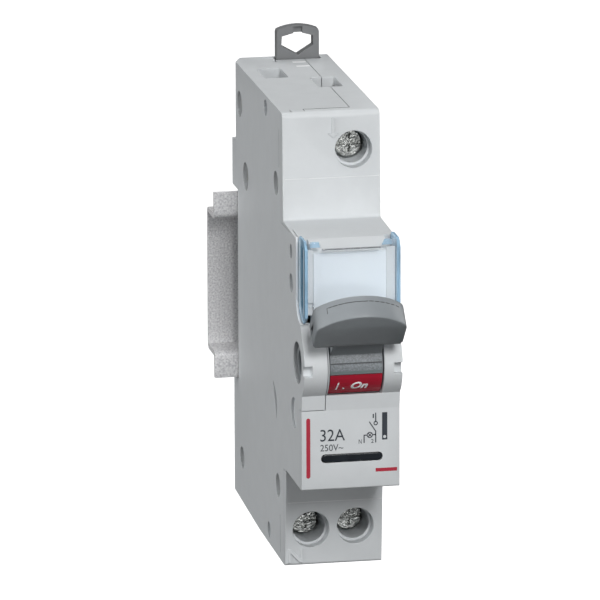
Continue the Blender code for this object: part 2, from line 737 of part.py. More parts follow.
def toggle():
    hub = (HUB_D, HUB_Z)
    back, face = PADDLE_RISE, PADDLE_RISE - PADDLE_THICK
    drum_left, drum_right = WINDOW_LEFT + DRUM_PLAY, WINDOW_RIGHT - DRUM_PLAY
    handle = keep(rod("x", (0, *hub), DRUM_RADIUS, drum_left, drum_right, 48), "toggle_handle", TOGGLE)
    stem = [paddle_point(0, back - 0.3), paddle_point(0, face + 1.2)]
    stem += [paddle_point(PADDLE_ROOT + 2, face + 1.2), paddle_point(PADDLE_ROOT + 2, back - 0.3)]
    join(handle, side(stem, drum_left + 0.1, drum_right - 0.1))
    journal_end = HALF - 0.6
    join(handle, rod("x", (0, *hub), JOURNAL_RADIUS, -journal_end, journal_end, 28))
    radius = (PADDLE_HALF**2 + PADDLE_CROWN**2) / (2 * PADDLE_CROWN)
    spread = math.degrees(math.asin(PADDLE_HALF / radius))
    crown = arc((0, PADDLE_TIP + PADDLE_CROWN - radius), radius, 90 - spread + 3, 90 + spread - 3, 16)
    plan = [(-PADDLE_HALF + 0.5, PADDLE_ROOT + 0.5), (PADDLE_HALF - 0.5, PADDLE_ROOT + 0.5)]
    plan += [(PADDLE_HALF, PADDLE_ROOT + 1.2), (PADDLE_HALF, PADDLE_TIP - 0.5), *crown]
    plan += [(-PADDLE_HALF, PADDLE_TIP - 0.5), (-PADDLE_HALF, PADDLE_ROOT + 1.2)]
    blank = front(plan, -back, -face)
    # The outline is drawn facing forward at d = 0, then turned up about the x axis to lie along the lever
    lever = Matrix.Translation(at(0, *hub)) @ Matrix.Rotation(math.radians(90 - HANDLE_ANGLE), 4, "X")
    blank.transform(lever @ Matrix.Translation((0, RAIL_DEPTH * MM, 0)))
    rounding = keep(blank, "paddle", helper=True)
    bevel = rounding.modifiers.new("edge", "BEVEL")
    bevel.width = 0.35 * MM
    bevel.segments = 2
    bevel.limit_method = "ANGLE"
    bevel.angle_limit = math.radians(50)
    union = handle.modifiers.new("paddle", "BOOLEAN")
    union.operation = "UNION"
    union.solver = "EXACT"
    union.object = rounding
    for end in (-1, 1):
        pocket = [paddle_point(PADDLE_ROOT + 1.4, -0.1), paddle_point(PADDLE_ROOT + 1.4, -1.9)]
        pocket.append(paddle_point(PADDLE_TIP - 1.6, -0.9))
        cut(handle, side(pocket, *outward(end, PADDLE_HALF - 2.2, PADDLE_HALF + 1)))
        reach = outward(end, journal_end - 1.2, journal_end + 1)
        cut(handle, rod("x", (0, *hub), JOURNAL_RADIUS - 1.0, *reach, 20))
    slot = [polar(hub, CORE_RADIUS, a) for a in (245, 215, 185, 155, 130, 100)]
    slot += arc(hub, DRUM_RADIUS + 1.5, 100, 245, 8)
    cut(handle, side(slot, MECH_X - LINK_THICK / 2 - RUN, MECH_X + LINK_THICK / 2 + RUN))
    pin = polar(hub, CRANK_RADIUS, CRANK_ANGLE)
    half = LINK_THICK / 2 + RUN + 0.3
    join(handle, rod("x", (0, *pin), LINK_PIN, MECH_X - half, MECH_X + half, 14))
    seat_angle = math.degrees(0.1 / DRUM_RADIUS)
    inner = DRUM_RADIUS - BAND_THICK
    bands = (("on_band", RED, HANDLE_ANGLE - ON_BAND_BELOW), ("off_band", GREEN, HANDLE_ANGLE + OFF_BAND_ABOVE))
    for name, finish, middle in bands:
        low, high = middle - BAND_SPREAD / 2, middle + BAND_SPREAD / 2
        seat = arc(hub, inner - 0.15, low - seat_angle, high + seat_angle, 6)
        seat += arc(hub, DRUM_RADIUS + 0.6, high + seat_angle, low - seat_angle, 6)
        cut(handle, side(seat, drum_left - 0.3, drum_right + 0.3))
        band = arc(hub, inner + 0.05, low, high, 6) + arc(hub, DRUM_RADIUS, high, low, 6)
        keep(side(band, drum_left + 0.05, drum_right - 0.05), name, finish)
    hinge_origin(handle, (0, *hub))


def cover():
    hinge_d, hinge_z = COVER_HINGE
    back = hinge_d - ARM_RADIUS
    plate = front(
        [
            (-PANE_HALF, hinge_z - 0.2),
            (PANE_HALF, hinge_z - 0.2),
            (PANE_HALF, COVER_TOP - 0.1),
            (6.1, COVER_TOP - 0.1),
            (5.3, COVER_TOP - 1.4),
            (-5.4, COVER_TOP - 1.4),
            (-5.6, COVER_TOP - 0.1),
            (-PANE_HALF, COVER_TOP - 0.1),
        ],
        COVER_FRONT - COVER_THICK,
        COVER_FRONT - 0.02,
    )
    clear = keep(plate, "label_cover", CLEAR)
    for end in (-1, 1):
        x0, x1 = outward(end, ARM_OUTER - ARM_THICK, ARM_OUTER)
        arm = [*arc(COVER_HINGE, ARM_RADIUS, 180, 360, 10), (COVER_FRONT, COVER_TOP - 1.6)]
        arm += [(COVER_FRONT - 1.6, COVER_TOP), (back, COVER_TOP)]
        join(clear, side(arm, x0, x1))
        pin = outward(end, ARM_OUTER - ARM_THICK - 0.5, ARM_OUTER - 0.5)
        join(clear, rod("x", (0, *COVER_HINGE), COVER_PIN, *pin, 12))
    hinge_origin(clear, (0, *COVER_HINGE))
    card = rectangle(-LABEL_HALF, LABEL_BOTTOM, LABEL_HALF, LABEL_TOP)
    card_back = NOSE_FRONT + SEAM
    keep(front(card, card_back, card_back + CARD_THICK), "label_card", PAPER)


def terminal(tag, centre):
    """A clamping screw and the folded cage that it pulls forward; the cage is open up and down."""
    x, z = centre
    head, shank = SCREW_HEAD / 2, SCREW_SHANK / 2
    shoulder = SCREW_FACE - SCREW_HEAD_THICK
    tip = BAR_D + BAR_THICK / 2 + SEAT
    profile = ((0, tip), (shank - 0.4, tip), (shank, tip + 0.5), (shank, shoulder), (head, shoulder))
    profile += ((head, SCREW_FACE - 0.3), (head - 0.3, SCREW_FACE), (0, SCREW_FACE))
    screw = keep(turned(profile, "d", (x, 0, z), 20), "terminal_screw_" + tag, ZINC)
    cut(screw, front(rectangle(x - 3, z - 0.45, x + 3, z + 0.45), SCREW_FACE - 1.3, SCREW_FACE + 1))
    cut(screw, front(rectangle(x - 0.45, z - 1.7, x + 0.45, z + 1.7), SCREW_FACE - 1.3, SCREW_FACE + 1))
    hinge_origin(screw, (x, SCREW_FACE, z))
    half = CAGE_WIDTH / 2
    outer = rectangle(x - half, CAGE_BACK, x + half, CAGE_FRONT, 0.5, 2)
    inner = rectangle(x - half + CAGE_SHEET, CAGE_BACK + CAGE_SHEET, x + half - CAGE_SHEET, CAGE_FRONT - 1.6)
    tall = CAGE_HEIGHT / 2
    cage = keep(top(outer, z - tall, z + tall, [inner]), "terminal_cage_" + tag, ZINC)
    cut(cage, rod("d", (x, 0, z), shank + SEAT, CAGE_FRONT - 3, CAGE_FRONT + 2, 20))


def strip(path, x, width, thick, name, finish):
    """A flat metal strip bent along (d, z) points."""
    points = [Vector(p) for p in path]
    left, right = [], []
    for i, point in enumerate(points):
        before = (point - points[i - 1]).normalized() if i else None
        after = (points[i + 1] - point).normalized() if i + 1 < len(points) else None
        way = ((before or after) + (after or before)).normalized()
        across = Vector((-way.y, way.x))
        lean = 1.0 if before is None or after is None else way.dot(after)
        left.append(tuple(point + across * thick / 2 / lean))
        right.append(tuple(point - across * thick / 2 / lean))
    return keep(side(left + right[::-1], x - width / 2, x + width / 2), name, finish)


def terminals():
    for tag, centre in (("1", TERMINAL_1), ("n", TERMINAL_N), ("2", TERMINAL_2)):
        terminal(tag, centre)
    reach = CAGE_HEIGHT / 2 - 0.5
    contact_bar = BAR_D - 3.4
    x, z = TERMINAL_1
    path = [(BAR_D, z + reach), (BAR_D, z - reach - 2.0)]
    path += [(contact_bar, z - reach - 6.0), (contact_bar, CONTACT_Z - 2.6)]
    strip(path, x - 0.3, BAR_WIDTH, BAR_THICK, "terminal_bar_1", COPPER)
    for tag, (x, z) in (("n", TERMINAL_N), ("2", TERMINAL_2)):
        path = ((BAR_D, z - reach), (BAR_D, z + reach + 5.0), (BAR_D + 2.0, z + reach + 7.0))
        strip(path, x, BAR_WIDTH, BAR_THICK, "terminal_bar_" + tag, COPPER)


def contacts():
    x = CONTACT_X
    face = BAR_D - 3.4 + BAR_THICK / 2
    pad = rod("d", (x, 0, CONTACT_Z), CONTACT_RADIUS, face + 0.05, face + CONTACT_THICK, 16)
    keep(pad, "fixed_contact", SILVER)
    moving = face + CONTACT_THICK + SEAT
    tip = rod("d", (x, 0, CONTACT_Z), CONTACT_RADIUS, moving, moving + CONTACT_THICK, 16)
    keep(tip, "moving_contact", SILVER)
    blade_d = moving + CONTACT_THICK + 0.05 + BLADE_THICK / 2
    elbow = (blade_d, CONTACT_Z - 3.0)
    path = ((blade_d, CONTACT_Z + 2.2), elbow, (CARRIER_D - 1.5, CARRIER_Z + 3.2))
    strip(path, x + 0.5, BAR_WIDTH, BLADE_THICK, "moving_blade", COPPER)
    pivot = (CARRIER_D, CARRIER_Z)
    rise = polar(pivot, LINK_REACH, ARM_ANGLE)
    plan = [polar(rise, 1.6, ARM_ANGLE + a) for a in (-90, -45, 0, 45, 90)]
    plan += [polar(pivot, 2.8, ARM_ANGLE + a) for a in (90, 130)]
    tail = polar(pivot, 9.0, 245)
    plan += [polar(tail, 1.5, a) for a in (175, 215, 260, 305, 345)]
    plan += [polar(pivot, 2.8, a) for a in (300, 340, 20)]
    carrier = keep(side(plan, -0.2, 1.5), "contact_carrier", CLIP)
    cut(carrier, rod("x", (0, *pivot), 1.3, -2, 4, 16))
    join(carrier, rod("x", (0, *rise), 0.8, MECH_X - LINK_THICK / 2 - 0.4, 0.5, 14))
    seat_d, seat_z = tail
    keep(rod("x", (0, *pivot), PIN_RADIUS, -INNER - 0.2, INNER + 0.2, 16), "carrier_pin", STEEL)
    hinge_origin(carrier, (0, *pivot))
    crank = polar((HUB_D, HUB_Z), CRANK_RADIUS, CRANK_ANGLE)
    link = [polar(crank, 1.25, a) for a in range(-140, 141, 28)]
    slot_end = [polar(rise, 2.3, a) for a in range(50, 311, 26)]
    holes = [circle(crank, LINK_PIN + 0.3, 14), [polar(rise, 1.5, a) for a in range(0, 360, 24)]]
    rod_plate = side(link + slot_end, MECH_X - LINK_THICK / 2, MECH_X + LINK_THICK / 2, holes)
    hinge_origin(keep(rod_plate, "link_rod", STEEL), (MECH_X, *crank))
    coil_radius, wire_radius, turns, per_turn = 1.9, 0.3, 7, 10
    spring_start, spring_end = SEAT + WALL + 8.0, seat_d - 1.9
    coil = []
    for k in range(turns * per_turn + 1):
        turn = 2 * math.pi * k / per_turn
        along = spring_start + (spring_end - spring_start) * k / (turns * per_turn)
        coil.append((0.65 + coil_radius * math.cos(turn), along, seat_z + coil_radius * math.sin(turn)))
    keep(wire(coil, wire_radius), "contact_spring", STEEL)
    x, z = TERMINAL_2
    start = Vector((x + 0.3, CARRIER_D - 2.6, CARRIER_Z + 2.0))
    end = Vector((x + 0.1, BAR_D + 2.4, z + CAGE_HEIGHT / 2 + 8.2))
    sag = Vector((0, -3.0, -1.0))
    braid = []
    for k in range(9):
        t = k / 8
        braid.append(tuple(start.lerp(end, t) + sag * math.sin(math.pi * t)))
    keep(wire(braid, 0.9), "braid", COPPER)


def lamp():
    """The indicator lens, the lamp behind it and its leads, by way of a resistor, to 2 and N."""
    depth = PLATE_FRONT - WALL
    half, tall = LENS_HALF, LENS_HEIGHT / 2
    left, right = LENS_X - half, LENS_X + half
    slot = rectangle(left, LENS_Z - tall, right, LENS_Z + tall, tall - 0.01, 4)
    lens = keep(front(slot, depth - 0.8, PLATE_FRONT - 0.05), "indicator_lens", SMOKE)
    flange = rectangle(left - 0.8, LENS_Z - 1.6, right + 0.8, LENS_Z + 1.6, 0.5)
    join(lens, front(flange, depth - 1.4, depth - SEAT / 3))
    lamp_d = depth - LAMP_BEHIND
    ends = ((0, -5.0), (1.6, -5.0), (2.1, -4.0), (2.1, 3.4), (1.2, 4.6), (0, 5.0))
    keep(turned(ends, "x", (0, lamp_d, LENS_Z), 16), "indicator_lamp", GLASS)
    x, d, z = TERMINAL_N[0], lamp_d - 10.0, LENS_Z - 1.6
    half_body = ((1.05, 1.4), (1.25, 1.8), (1.25, 2.6), (0.9, 3.2), (0, 3.2))
    body = tuple((radius, -along) for radius, along in reversed(half_body)) + half_body
    keep(turned(body, "d", (x, d, z), 12), "lamp_resistor", CERAMIC)
    bar_d, bar_z = BAR_D + 2.9, TERMINAL_N[1] + CAGE_HEIGHT / 2 + 6.4
    path = [(-5.3, lamp_d, LENS_Z), (-6.2, lamp_d - 0.5, LENS_Z), (-6.2, lamp_d - 3, LENS_Z - 0.6)]
    path += [(x, d + 5.0, z), (x, d + 3.5, z)]
    keep(wire(path, LEAD_RADIUS), "lamp_lead", INSULATION)
    path = [(x, d - 3.5, z), (x, d - 8.0, z - 0.5), (x, bar_d + 3.1, bar_z + 0.2), (x, bar_d, bar_z)]
    keep(wire(path, LEAD_RADIUS), "lamp_lead_n", INSULATION)
    x = TERMINAL_2[0] + 1.2
    path = [(5.3, lamp_d, LENS_Z), (6.2, lamp_d - 0.5, LENS_Z), (6.6, lamp_d - 6, LENS_Z - 1.5)]
    path += [(6.6, bar_d + 5.1, bar_z - 0.8), (x, bar_d, bar_z)]
    keep(wire(path, LEAD_RADIUS), "lamp_lead_2", INSULATION)


def rivets():
    """Hollow rivets, their heads sunk in the seats of both sides."""
    seat = HALF - RIVET_SINK + 0.05
    for number, (d, z, width) in enumerate(RIVETS, 1):
        rim = width / 2 - 0.35
        half_profile = (
            (RIVET_SHANK, seat),
            (rim, seat),
            (rim, seat + RIVET_HEAD_THICK - 0.2),
            (rim - 0.3, seat + RIVET_HEAD_THICK),
            (0, seat + RIVET_HEAD_THICK),
        )
        profile = tuple((radius, -along) for radius, along in reversed(half_profile)) + half_profile
        rivet = keep(turned(profile, "x", (0, d, z), 14), f"rivet_{number}", ZINC)
        cut(rivet, rod("x", (0, d, z), 0.7, -seat - 1.0, -seat + 2.0, 10))


rail()
clip("upper_clip", 1)
clip("lower_clip", -1)
toggle()
cover()
terminals()
contacts()
lamp()
rivets()
housing()
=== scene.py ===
"""Looks of the switch disconnector: materials, print, fine trim, light and camera.

Places are in millimetres as in the part's source: x to the right, d forward of the rail's front face
and z up. An outline on a side is in (d, z) and one on the front in (x, z). Angles on a side are in
degrees from straight forward, turning upward.
"""

import json
import math

import bmesh
import bpy
from mathutils import Matrix, Vector
from mathutils.bvhtree import BVHTree


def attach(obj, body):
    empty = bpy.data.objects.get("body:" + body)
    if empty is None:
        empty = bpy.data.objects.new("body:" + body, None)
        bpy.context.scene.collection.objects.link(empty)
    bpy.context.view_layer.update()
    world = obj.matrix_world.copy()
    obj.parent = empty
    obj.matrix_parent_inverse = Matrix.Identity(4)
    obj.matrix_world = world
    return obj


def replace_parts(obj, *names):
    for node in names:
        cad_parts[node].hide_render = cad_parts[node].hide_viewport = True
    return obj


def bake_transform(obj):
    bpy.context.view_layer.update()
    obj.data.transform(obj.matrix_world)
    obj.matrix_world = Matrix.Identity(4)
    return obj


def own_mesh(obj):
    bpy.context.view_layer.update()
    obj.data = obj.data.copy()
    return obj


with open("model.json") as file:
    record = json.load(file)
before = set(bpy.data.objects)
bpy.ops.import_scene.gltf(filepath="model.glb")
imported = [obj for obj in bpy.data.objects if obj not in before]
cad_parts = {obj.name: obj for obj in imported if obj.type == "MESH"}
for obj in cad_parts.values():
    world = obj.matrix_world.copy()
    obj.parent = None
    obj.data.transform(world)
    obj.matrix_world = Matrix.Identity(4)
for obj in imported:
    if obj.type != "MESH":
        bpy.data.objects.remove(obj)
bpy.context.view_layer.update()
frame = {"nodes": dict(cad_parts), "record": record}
NODES = frame["nodes"]
BODIES = frame["record"]["behaviour"]["bodies"]

MM = 0.001
RAIL_DEPTH = 7.5

# Places shared with the part
HALF = 8.85
TOP, FOOT = 41.6, -41.4
SHOULDER_TOP, SHOULDER_ROOT = 43.6, 44.2
LOWER_SHOULDER_ROOT, LOWER_SHOULDER_FOOT = 46.2, 44.9
NOSE_TOP, NOSE_BOTTOM = 22.15, -23.2
PLATE_FRONT = 61.0
HUB_D, HUB_Z = 57.3, -0.6
DRUM_RADIUS = 6.0
WINDOW_LEFT, WINDOW_RIGHT = -4.35, 5.6
HANDLE_ANGLE = 45.0
ON_BAND_BELOW, OFF_BAND_ABOVE = 80.0, 60.0

# How far print stands off the surface under it, and how thick it is
PRINT_LIFT = 0.012
PRINT_THICK = 0.02

# How deep a fine form is rooted in the wall that carries it
ROOT = 0.1

# Edges flatter than this are shaded smooth
SMOOTH_BELOW = math.radians(32)

# Corners this close, in metres, are one corner
SOLID_WELD = 2e-7
LETTER_WELD = 1e-8


def at(x, d, z):
    """A place in metres."""
    return Vector((x, -(RAIL_DEPTH + d), z)) * MM


# Materials
def shader_of(made):
    return made.node_tree.nodes["Principled BSDF"]


def fill(node, values):
    """Sets a node's sockets by name, with an underscore for a space."""
    for name, value in values.items():
        node.inputs[name.replace("_", " ")].default_value = value


def add(made, kind, **values):
    """A new node with its sockets filled."""
    node = made.node_tree.nodes.new(kind)
    fill(node, values)
    return node


def link(made, out, into):
    made.node_tree.links.new(out, into)


def plain(name, colour, roughness, metallic=0.0, **sockets):
    """A finish that is the same all over."""
    made = bpy.data.materials.new(name)
    made.use_nodes = True
    fill(shader_of(made), {"Base_Color": (*colour, 1), "Roughness": roughness, "Metallic": metallic, **sockets})
    return made


def vary(made, colour, spread, scale, detail=4.0, stretch=(1, 1, 1)):
    """Gives the colour an uneven tone from noise in the object's own space."""
    where = add(made, "ShaderNodeTexCoord")
    squeeze = add(made, "ShaderNodeMapping", Scale=stretch)
    noise = add(made, "ShaderNodeTexNoise", Scale=scale, Detail=detail, Roughness=0.6)
    ramp = add(made, "ShaderNodeValToRGB")
    for end, position, factor in zip(ramp.color_ramp.elements, (0.3, 0.7), (1 - spread, 1 + spread)):
        end.position = position
        end.color = (*(min(1.0, max(0.0, c * factor)) for c in colour), 1)
    link(made, where.outputs["Object"], squeeze.inputs["Vector"])
    link(made, squeeze.outputs["Vector"], noise.inputs["Vector"])
    link(made, noise.outputs["Fac"], ramp.inputs["Fac"])
    link(made, ramp.outputs["Color"], shader_of(made).inputs["Base Color"])
    return squeeze


def grain(made, squeeze, scale, depth, rounding=0.0):
    """A fine bump of that depth in mm, over edges rounded by that radius in mm."""
    noise = add(made, "ShaderNodeTexNoise", Scale=scale, Detail=2.0, Roughness=0.5)
    bump = add(made, "ShaderNodeBump", Strength=0.5, Distance=depth * MM)
    link(made, squeeze.outputs["Vector"], noise.inputs["Vector"])
    link(made, noise.outputs["Fac"], bump.inputs["Height"])
    if rounding:
        soft = add(made, "ShaderNodeBevel", Radius=rounding * MM)
        soft.samples = 6
        link(made, soft.outputs["Normal"], bump.inputs["Normal"])
    link(made, bump.outputs["Normal"], shader_of(made).inputs["Normal"])


def roughen(made, squeeze, scale, low, high):
    """An uneven roughness between two values."""
    noise = add(made, "ShaderNodeTexNoise", Scale=scale, Detail=3.0, Roughness=0.6)
    spread = add(made, "ShaderNodeMapRange", To_Min=low, To_Max=high)
    link(made, squeeze.outputs["Vector"], noise.inputs["Vector"])
    link(made, noise.outputs["Fac"], spread.inputs["Value"])
    link(made, spread.outputs["Result"], shader_of(made).inputs["Roughness"])


def moulded(name, colour, roughness, spread=0.02, rounding=0.15, depth=0.012):
    """Matt moulded plastic: a fine spark-eroded grain and slightly softened edges."""
    made = plain(name, colour, roughness, Specular_IOR_Level=0.4)
    squeeze = vary(made, colour, spread, 260.0)
    roughen(made, squeeze, 900.0, roughness - 0.06, roughness + 0.06)
    grain(made, squeeze, 5200.0, depth, rounding)
    return made


def plated(
    name, colour, roughness, spread, rounding=0.08, scale=700.0, depth=0.01, metallic=0.95, detail=6.0
):
    """Metal, bare or plated: an uneven tone at that scale and a finer bump."""
    made = plain(name, colour, roughness, metallic)
    squeeze = vary(made, colour, spread, scale, detail)
    roughen(made, squeeze, scale * 1.6, roughness - 0.1, roughness + 0.15)
    grain(made, squeeze, scale * 3, depth, rounding)
    return made


def clear_plastic(name, colour, alpha, roughness, spread=0.06):
    """Clear tinted plastic, streaked up and down."""
    made = plain(name, colour, roughness, Alpha=alpha, IOR=1.5, Specular_IOR_Level=0.7)
    squeeze = vary(made, colour, spread, 900.0, 2.0, (1, 1, 0.12))
    grain(made, squeeze, 900.0, 0.004)
    return made


# The finish of each material slot of the part
FINISHES = {
    "rail_zinc": plated(
        "galvanised_sheet", (0.94, 0.93, 0.96), 0.5, 0.33, 0.15, 3000.0, 0.03, metallic=0.2, detail=1.0
    ),
    "case": moulded("case_plastic", (0.63, 0.655, 0.67), 0.5),
    "toggle": moulded("toggle_plastic", (0.268, 0.29, 0.306), 0.42, 0.05, 0.45, 0.02),
    "band_on": moulded("band_red", (0.4, 0.014, 0.034), 0.38, 0.04, 0.0),
    "band_off": moulded("band_green", (0.01, 0.17, 0.05), 0.38, 0.04, 0.0),
    "paper": moulded("label_card", (0.88, 0.94, 1.0), 0.8, 0.01, 0.0, 0.02),
    "clip": moulded("clip_plastic", (0.175, 0.18, 0.185), 0.45, 0.05, 0.12),
    "zinc": plated("zinc_plate", (0.66, 0.66, 0.64), 0.28, 0.15),
    "copper": plated("bare_copper", (0.74, 0.38, 0.24), 0.32, 0.12),
    "silver": plated("contact_silver", (0.8, 0.8, 0.78), 0.3, 0.1),
    "steel": plated("plain_steel", (0.5, 0.5, 0.5), 0.3, 0.12),
    "lens": moulded("lens_smoke", (0.018, 0.022, 0.027), 0.12, 0.2, 0.25, 0.002),
    "lamp_glass": plain("lamp_glass", (0.95, 0.85, 0.75), 0.05, Transmission_Weight=0.9),
    "ceramic": moulded("resistor_coat", (0.5, 0.36, 0.2), 0.6, 0.06),
    "lead": moulded("lead_sleeve", (0.02, 0.07, 0.28), 0.42, 0.04),
}
for part in frame["record"]["subparts"]:
    made = FINISHES.get(part["material_slot"])
    if made:
        node = NODES[part["node"]]
        node.data.materials.clear()
        node.data.materials.append(made)

# Nodes with a finish of their own
carrier_plastic = moulded("carrier_plastic", (0.08, 0.08, 0.085), 0.5, 0.05)
screw_zinc = plated("screw_zinc", (0.36, 0.37, 0.36), 0.2, 0.6, 0.05, 900.0, 0.25)
NODES["contact_carrier"].data.materials[0] = carrier_plastic
for terminal in ("1", "n", "2"):
    NODES["terminal_screw_" + terminal].data.materials[0] = screw_zinc

# Finishes of the pieces that are made here
pane = clear_plastic("cover_pane", (0.82, 0.91, 1.0), 0.12, 0.06)
arms = clear_plastic("cover_arms", (0.36, 0.58, 0.78), 0.85, 0.12, 0.3)
# Darker and lighter copies of the arms' blue: painted shade and painted highlight on the arms
arm_painted_shade = clear_plastic("cover_arm_painted_shade", (0.2, 0.42, 0.6), 0.85, 0.12, 0.35)
arm_painted_highlight = clear_plastic("cover_arm_painted_highlight", (0.78, 0.88, 0.95), 0.95, 0.1, 0.1)
edge_shade = moulded("cover_notch_shadow", (0.1, 0.11, 0.12), 0.3, 0.1, 0.0)
# A lighter copy of the case plastic: painted light
case_painted_light = moulded("case_painted_light_tone", (0.74, 0.765, 0.78), 0.5)
# Near white: painted highlight on edges, ridges and ledges of the case
painted_white_highlight = moulded("painted_white_highlight", (0.92, 0.93, 0.94), 0.5, 0.01, 0.0)
relief_shade = moulded("relief_shade", (0.4, 0.42, 0.44), 0.5, 0.05, 0.0)
shade = moulded("groove_shade", (0.07, 0.075, 0.08), 0.6, 0.1, 0.0)
ink = moulded("print_dark", (0.036, 0.044, 0.056), 0.6, 0.1, 0.0)
ink_red = moulded("print_red", (0.42, 0.02, 0.045), 0.5, 0.06, 0.0)
ink_white = moulded("print_white", (0.85, 0.86, 0.87), 0.5, 0.02, 0.0)
teal = moulded("drum_teal", (0.15, 0.19, 0.19), 0.5, 0.06, 0.0)
SPECKLE_GREY = (0.2, 0.22, 0.235)
speckle = plain("drum_speckle", SPECKLE_GREY, 0.45)
grain(speckle, vary(speckle, SPECKLE_GREY, 0.3, 3400.0, 2.0), 5000.0, 0.02)


# Outlines
def rectangle(a0, b0, a1, b1):
    return [(a0, b0), (a1, b0), (a1, b1), (a0, b1)]


def turn(centre, radius, start, end, steps):
    """Places round a centre on a side, between two angles."""
    angles = [math.radians(start + (end - start) * k / steps) for k in range(steps + 1)]
    return [(centre[0] + radius * math.cos(a), centre[1] + radius * math.sin(a)) for a in angles]


def bar(x0, z0, x1, z1, wide):
    """A stroke between two points."""
    start, end = Vector((x0, z0)), Vector((x1, z1))
    along = (end - start).normalized() * wide / 2
    side = Vector((-along.y, along.x))
    return [tuple(corner) for corner in (start - side, end - side, end + side, start + side)]


def stadium(x0, z0, x1, z1, wide, steps=8):
    """A stroke with round ends."""
    way = math.atan2(z1 - z0, x1 - x0)
    turns = [way + math.pi / 2 + math.pi * k / steps for k in range(steps + 1)]
    start = [(x0 + wide / 2 * math.cos(t), z0 + wide / 2 * math.sin(t)) for t in turns]
    end = [(x1 - wide / 2 * math.cos(t), z1 - wide / 2 * math.sin(t)) for t in turns]
    return start + end


def ring(x, z, radius, steps=20):
    turns = [2 * math.pi * k / steps for k in range(steps)]
    return [(x + radius * math.cos(t), z + radius * math.sin(t)) for t in turns]


# Meshes
def opened(*meshes):
    """One working mesh from one mesh or more."""
    work = bmesh.new()
    for mesh in meshes:
        work.from_mesh(mesh)
    return work


def closed(work, mesh):
    """Writes a working mesh into a mesh."""
    work.to_mesh(mesh)
    work.free()
    return mesh


def mesh_of(name, points, faces):
    mesh = bpy.data.meshes.new(name)
    mesh.from_pydata(points, [], faces)
    mesh.update()
    return mesh


def fused(*meshes):
    """One mesh from several."""
    return closed(opened(*meshes), bpy.data.meshes.new("joined"))


def between(near, far):
    """A solid between two outlines with the same number of corners."""
    count = len(near)
    faces = [tuple(range(count)), tuple(range(2 * count - 1, count - 1, -1))]
    faces += [(k, k + count, (k + 1) % count + count, (k + 1) % count) for k in range(count)]
    mesh = mesh_of("solid", near + far, faces)
    work = opened(mesh)
    bmesh.ops.recalc_face_normals(work, faces=work.faces)
    return closed(work, mesh)


def prism(outline, x0, x1):
    """A solid from an outline on a side, between two levels across."""
    return between(*([at(x, d, z) for d, z in outline] for x in (x0, x1)))


def panel(outline, d0, d1):
    """A solid from an outline on the front, between two depths."""
    return between(*([at(x, d, z) for x, z in outline] for d in (d0, d1)))


def swept(name, sections):
    """A solid through sections of four corners, the third and fourth beside the first and second."""
    points = [corner for section in sections for corner in section]
    end = len(points) - 4
    faces = []
    for a in range(0, end, 4):
        b = a + 4
        faces += [(a, a + 1, b + 1, b), (a + 1, a + 3, b + 3, b + 1)]
        faces += [(a + 3, a + 2, b + 2, b + 3), (a + 2, a, b, b + 2)]
    faces += [(0, 2, 3, 1), (end, end + 1, end + 3, end + 2)]
    return mesh_of(name, points, faces)


def from_curve(curve):
    guide = bpy.data.objects.new(curve.name, curve)
    mesh = bpy.data.meshes.new_from_object(guide)
    bpy.data.objects.remove(guide)
    return mesh


def flat(*outlines):
    """A flat print from closed outlines. An outline inside another is a hole."""
    curve = bpy.data.curves.new("outline", "CURVE")
    curve.dimensions = "2D"
    curve.fill_mode = "BOTH"
    curve.extrude = PRINT_THICK / 2 * MM
    for outline in outlines:
        spline = curve.splines.new("POLY")
        spline.points.add(len(outline) - 1)
        for point, (a, b) in zip(spline.points, outline):
            point.co = (a * MM, b * MM, 0, 1)
        spline.use_cyclic_u = True
    return from_curve(curve)


def letters(text, low, high, shear=0.0, bold=0.0):
    """Text as a flat print that fills the box from low to high."""
    curve = bpy.data.curves.new("letters", "FONT")
    curve.body = text
    curve.size = 1.0
    curve.shear = shear
    curve.offset = bold
    curve.resolution_u = 4
    mesh = from_curve(curve)
    xs = [v.co.x for v in mesh.vertices]
    ys = [v.co.y for v in mesh.vertices]
    wide, tall = max(xs) - min(xs), max(ys) - min(ys)
    for v in mesh.vertices:
        v.co.x = (low[0] + (v.co.x - min(xs)) / wide * (high[0] - low[0])) * MM
        v.co.y = (low[1] + (v.co.y - min(ys)) / tall * (high[1] - low[1])) * MM
        v.co.z = 0
    work = opened(mesh)
    bmesh.ops.remove_doubles(work, verts=work.verts, dist=LETTER_WELD)
    pulled = bmesh.ops.extrude_face_region(work, geom=work.faces[:])
    raised = [v for v in pulled["geom"] if isinstance(v, bmesh.types.BMVert)]
    bmesh.ops.translate(work, vec=(0, 0, PRINT_THICK * MM), verts=raised)
    bmesh.ops.recalc_face_normals(work, faces=work.faces)
    return closed(work, mesh)


FACING = Matrix(((1, 0, 0, 0), (0, 0, -1, 0), (0, 1, 0, 0), (0, 0, 0, 1)))


def on_front(mesh, d):
    """Turns a flat print to face forward at depth d."""
    mesh.transform(Matrix.Translation(at(0, d + PRINT_LIFT, 0)) @ FACING)
    return mesh


# Objects
def piece(name, body, mesh, finish):
    """A piece in one finish that rides on a body."""
    mesh.materials.clear()
    mesh.materials.append(finish)
    made = bpy.data.objects.new(name, mesh)
    bpy.context.scene.collection.objects.link(made)
    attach(made, body)
    return made


def places_of(thing):
    """An object's corners, in metres."""
    return [thing.matrix_world @ v.co for v in thing.data.vertices]


def shade_smooth(mesh):
    """Shades a mesh smooth across its curves."""
    mesh.shade_smooth()
    mesh.set_sharp_from_angle(angle=SMOOTH_BELOW)


def body_of(node):
    return next(body for body, members in BODIES.items() if node in members)


